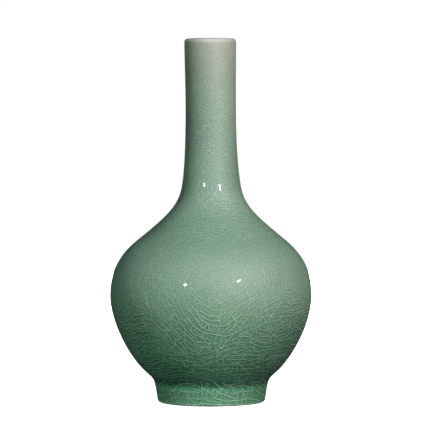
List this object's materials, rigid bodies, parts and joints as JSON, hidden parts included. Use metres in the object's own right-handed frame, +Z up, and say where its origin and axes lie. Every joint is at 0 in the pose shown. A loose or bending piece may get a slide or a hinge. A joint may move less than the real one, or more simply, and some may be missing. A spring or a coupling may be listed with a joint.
{
  "type": "porcelain bottle vase",
  "caption": "Long-necked bottle vase on a foot ring, luted from thrown sections, with crackled green glaze outside and paler glaze inside.",
  "frame": {"origin": "centre of the foot rim's resting plane", "axes": "+Z up along the vase's axis; -Y faces the picture's viewer; the body is a solid of revolution"},
  "size_m": [0.1664, 0.1664, 0.3],
  "materials": {
    "porcelain": "bare fired paste, matt and faintly granular",
    "luting_slip": "fired slip, matt",
    "outer_glaze": "thick glossy celadon glaze with a pale crackle, paler at the mouth and deeper at the foot",
    "inner_glaze": "thinner glossy celadon glaze, paler",
    "base_glaze": "thin glossy celadon glaze in the well"
  },
  "bodies": {
    "root": {"foot_ring": "porcelain", "base_disc": "porcelain", "lower_body": "porcelain", "upper_body": "porcelain", "neck": "porcelain", "foot_seam": "luting_slip", "base_seam": "luting_slip", "belly_seam": "luting_slip", "neck_seam": "luting_slip", "outer_glaze": "outer_glaze", "inner_glaze": "inner_glaze", "base_glaze": "base_glaze"}
  },
  "joints": []
}
